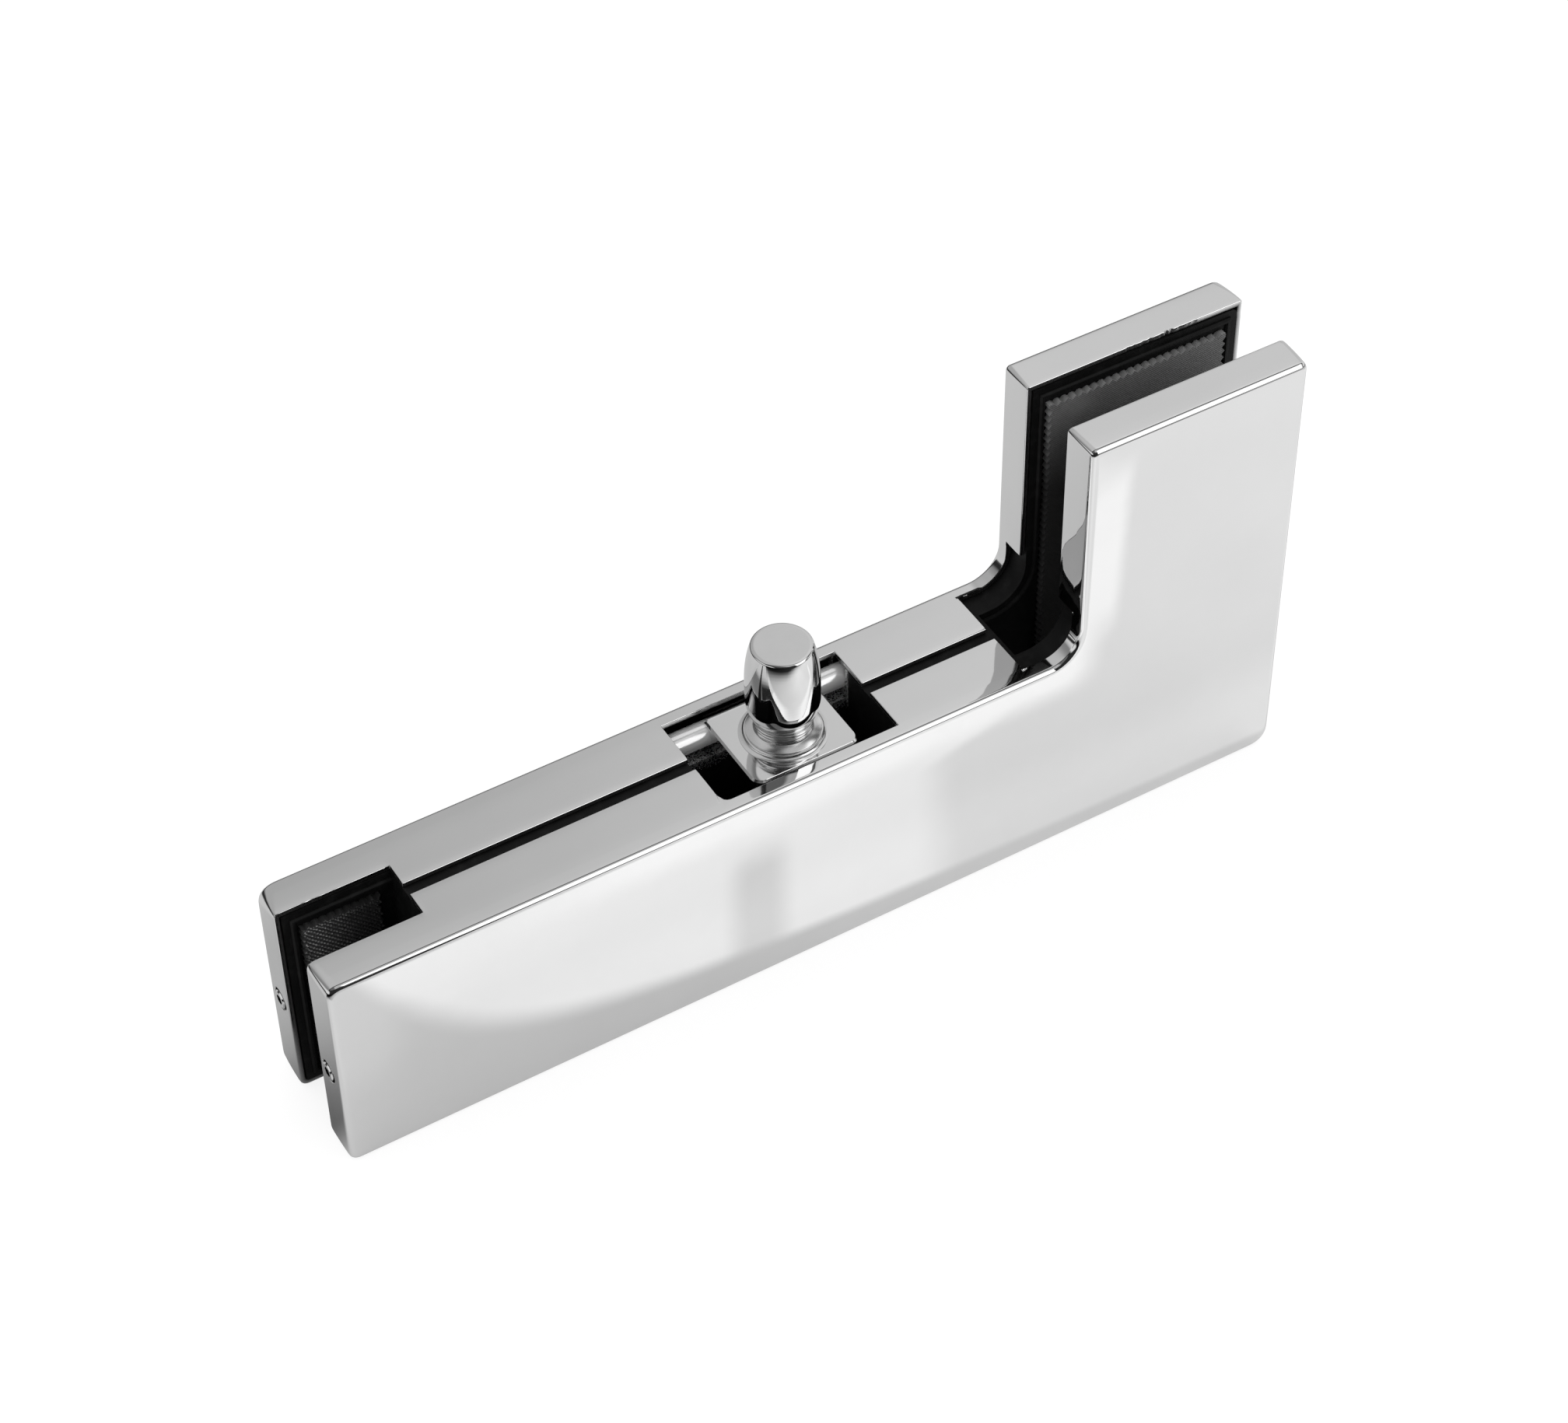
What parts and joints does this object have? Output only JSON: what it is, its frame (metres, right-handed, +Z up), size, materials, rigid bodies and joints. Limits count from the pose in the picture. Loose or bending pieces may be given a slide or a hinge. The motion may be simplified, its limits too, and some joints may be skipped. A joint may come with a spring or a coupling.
{
  "type": "glass patch fitting",
  "caption": "L-shaped clamp fitting for glass panels, with polished covers, gripping pads and a sliding pivot pin for a door.",
  "frame": {"origin": "centre of the whole outline on the plane that the fitting stands on, half way between the covers", "axes": "+X along the arm towards the leg, +Y from the front cover to the rear cover, +Z up the leg and along the pivot pin"},
  "size_m": [0.2186, 0.031, 0.1053],
  "materials": {
    "cover_chrome": "polished",
    "body_black": "black satin coating",
    "pad_gasket": "fine woven texture",
    "block_chrome": "polished",
    "pin_chrome": "turned and polished",
    "bush_steel": "knurled and plated",
    "rod_chrome": "polished",
    "bush_plastic": "moulded",
    "screw_steel": "plated",
    "clamp_steel": "black oxide"
  },
  "bodies": {
    "fitting": {"front_cover": "cover_chrome", "rear_cover": "cover_chrome", "front_body": "body_black", "rear_body": "body_black", "guide_rod": "rod_chrome", "leg_bush": "bush_plastic", "front_arm_pad": "pad_gasket", "front_leg_pad": "pad_gasket", "front_lower_pad": "pad_gasket", "front_cover_screw_left": "screw_steel", "front_cover_screw_right": "screw_steel", "rear_arm_pad": "pad_gasket", "rear_leg_pad": "pad_gasket", "rear_lower_pad": "pad_gasket", "rear_cover_screw_left": "screw_steel", "rear_cover_screw_right": "screw_steel", "clamp_screw_left": "clamp_steel", "clamp_screw_right": "clamp_steel", "clamp_screw_leg": "clamp_steel"},
    "pivot_carriage": {"pivot_block": "block_chrome", "pivot_bush": "bush_steel", "pivot_pin": "pin_chrome"}
  },
  "joints": [
    {"name": "pivot_adjustment", "type": "slide", "parent": "fitting", "child": "pivot_carriage", "axis": [1, 0, 0], "range_m": [-0.0083, 0.0066]}
  ]
}
